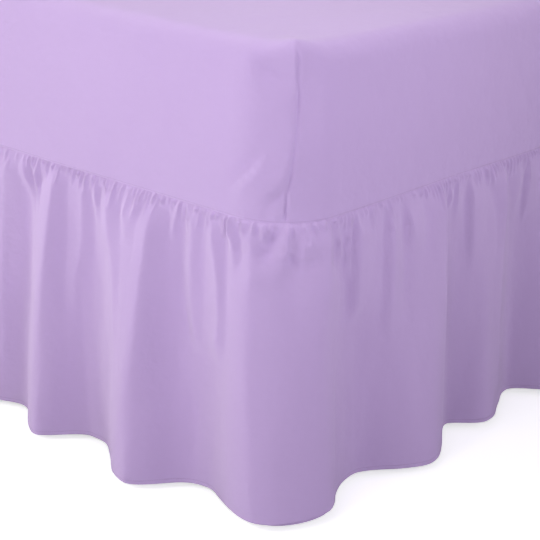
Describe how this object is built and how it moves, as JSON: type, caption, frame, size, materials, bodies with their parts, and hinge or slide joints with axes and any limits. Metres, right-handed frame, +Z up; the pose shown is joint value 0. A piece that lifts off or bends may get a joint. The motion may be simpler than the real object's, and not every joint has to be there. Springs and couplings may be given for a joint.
{
  "type": "fitted bed skirt on a mattress and divan bed base",
  "caption": "Fitted sheet with a gathered frill sewn to its lower edge, pulled over a single mattress and hanging to the floor round the base.",
  "frame": {"origin": "on the floor under the middle of the bed", "axes": "+Z up, +X to the right of someone who looks from the foot end, +Y towards the head end"},
  "size_m": [1.056, 2.056, 0.64],
  "materials": {
    "cloth": "smooth plain-woven polycotton percale, lilac, slight sheen",
    "ticking": "plain off-white mattress cover",
    "base_fabric": "plain woven upholstery, grey",
    "glide": "black moulded plastic"
  },
  "bodies": {
    "root": {"fitted_sheet": "cloth", "frill_strip_1": "cloth", "frill_strip_2": "cloth", "frill_strip_3": "cloth", "mattress": "ticking", "divan_base": "base_fabric", "glide_right_foot": "glide", "glide_right_head": "glide", "glide_left_foot": "glide", "glide_left_head": "glide"}
  },
  "joints": []
}
